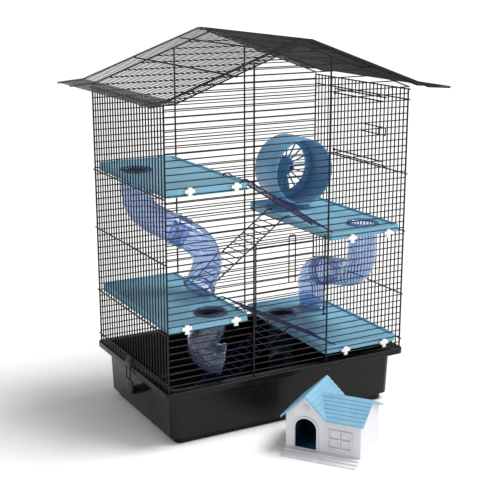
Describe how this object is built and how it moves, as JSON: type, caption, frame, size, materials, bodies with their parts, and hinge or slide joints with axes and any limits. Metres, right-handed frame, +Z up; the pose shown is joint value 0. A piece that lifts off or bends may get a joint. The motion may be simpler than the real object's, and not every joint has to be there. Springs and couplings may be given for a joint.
{
  "type": "hamster cage",
  "caption": "Tall wire hamster cage with a deep tray, gable roof, shelves, ladders, clear tubes, an exercise wheel and a small house.",
  "frame": {"origin": "centre of the underside of the tray", "axes": "+Z up, +X to the right of the front, +Y from the front door to the back"},
  "size_m": [0.5796, 0.5652, 0.6888],
  "materials": {
    "black_wire": "satin epoxy coating",
    "black_tray": "moulded, semi-gloss",
    "black_plastic": "moulded",
    "platform_blue": "moulded, satin",
    "clip_white": "moulded",
    "tube_blue": "clear tinted plastic",
    "wheel_blue": "moulded, satin",
    "axle_steel": "turned",
    "ladder_blue": "coated wire",
    "house_blue": "moulded",
    "house_white": "moulded"
  },
  "bodies": {
    "tray": {"base_tray": "black_tray"},
    "wire_top": {"front_panel": "black_wire", "back_panel": "black_wire", "left_panel": "black_wire", "right_panel": "black_wire", "roof_left": "black_wire", "roof_right": "black_wire", "ridge_wire": "black_wire", "platform_upper_left": "platform_blue", "platform_lower_left": "platform_blue", "platform_upper_right": "platform_blue", "platform_lower_right": "platform_blue", "platform_clips_upper_left": "clip_white", "platform_clips_lower_left": "clip_white", "platform_clips_upper_right": "clip_white", "platform_clips_lower_right": "clip_white", "tube_collar_upper_left": "tube_blue", "tube_collar_lower_left": "tube_blue", "tube_collar_upper_right": "tube_blue", "tube_collar_lower_right": "tube_blue", "left_tube_upper": "tube_blue", "left_tube_lower": "tube_blue", "right_tube_upper": "tube_blue", "right_tube_lower": "tube_blue", "left_floor_elbow": "tube_blue", "right_floor_elbow": "tube_blue", "left_tube_joiner": "tube_blue", "right_tube_joiner": "tube_blue", "mouth_ring_left": "tube_blue", "mouth_ring_right": "tube_blue", "mouth_ring_left_floor": "tube_blue", "mouth_ring_right_floor": "tube_blue", "wheel_stand": "wheel_blue", "wheel_axle": "axle_steel", "wheel_cap": "black_plastic"},
    "front_door": {"front_door": "black_wire"},
    "front_latch": {"front_latch": "black_wire"},
    "right_door": {"right_door": "black_wire"},
    "right_latch": {"right_latch": "black_wire"},
    "left_clip": {"left_clip_band": "black_plastic", "left_clip_loop": "black_wire"},
    "right_clip": {"right_clip_band": "black_plastic", "right_clip_loop": "black_wire"},
    "wheel": {"wheel_drum": "wheel_blue", "wheel_hub": "wheel_blue"},
    "ladder_1": {"ladder_1": "ladder_blue"},
    "ladder_2": {"ladder_2": "ladder_blue"},
    "ladder_3": {"ladder_3": "ladder_blue"},
    "ladder_4": {"ladder_4": "ladder_blue"},
    "house": {"house_walls": "house_white", "house_steps": "house_white", "house_door_frame": "house_white", "house_window": "house_white", "house_medallion": "house_white"},
    "house_roof": {"house_roof": "house_blue"}
  },
  "joints": [
    {"name": "top_lift", "type": "slide", "parent": "tray", "child": "wire_top", "axis": [0, 0, 1], "range_m": [0, 0.06]},
    {"name": "front_door_hinge", "type": "hinge", "parent": "wire_top", "child": "front_door", "pos_m": [0, -0.15088, 0.1969], "axis": [1, 0, 0], "range_deg": [0, 100]},
    {"name": "front_latch_slide", "type": "slide", "parent": "front_door", "child": "front_latch", "axis": [0, 0, 1], "range_m": [0, 0.012]},
    {"name": "right_door_hinge", "type": "hinge", "parent": "wire_top", "child": "right_door", "pos_m": [0.239, 0.08265, 0.503], "axis": [0, 0, 1], "range_deg": [0, 110]},
    {"name": "right_latch_slide", "type": "slide", "parent": "right_door", "child": "right_latch", "axis": [0, 1, 0], "range_m": [0, 0.015]},
    {"name": "left_clip_hinge", "type": "hinge", "parent": "wire_top", "child": "left_clip", "pos_m": [-0.24187, 0, 0.122], "axis": [0, 1, 0], "range_deg": [0, 100]},
    {"name": "right_clip_hinge", "type": "hinge", "parent": "wire_top", "child": "right_clip", "pos_m": [0.24187, 0, 0.122], "axis": [0, -1, 0], "range_deg": [0, 100]},
    {"name": "wheel_spin", "type": "hinge", "parent": "wire_top", "child": "wheel", "pos_m": [0.147, 0.0765, 0.4165], "axis": [0, 1, 0], "continuous": true},
    {"name": "ladder_1_lift", "type": "slide", "parent": "wire_top", "child": "ladder_1", "axis": [0, 0, 1], "range_m": [0, 0.012]},
    {"name": "ladder_2_lift", "type": "slide", "parent": "wire_top", "child": "ladder_2", "axis": [0, 0, 1], "range_m": [0, 0.012]},
    {"name": "ladder_3_lift", "type": "slide", "parent": "wire_top", "child": "ladder_3", "axis": [0, 0, 1], "range_m": [0, 0.012]},
    {"name": "ladder_4_lift", "type": "slide", "parent": "wire_top", "child": "ladder_4", "axis": [0, 0, 1], "range_m": [0, 0.012]},
    {"name": "house_lift", "type": "slide", "parent": "tray", "child": "house", "axis": [0, 0, 1], "range_m": [0, 0.015]},
    {"name": "house_roof_lift", "type": "slide", "parent": "house", "child": "house_roof", "axis": [0, 0, 1], "range_m": [0, 0.03]}
  ]
}
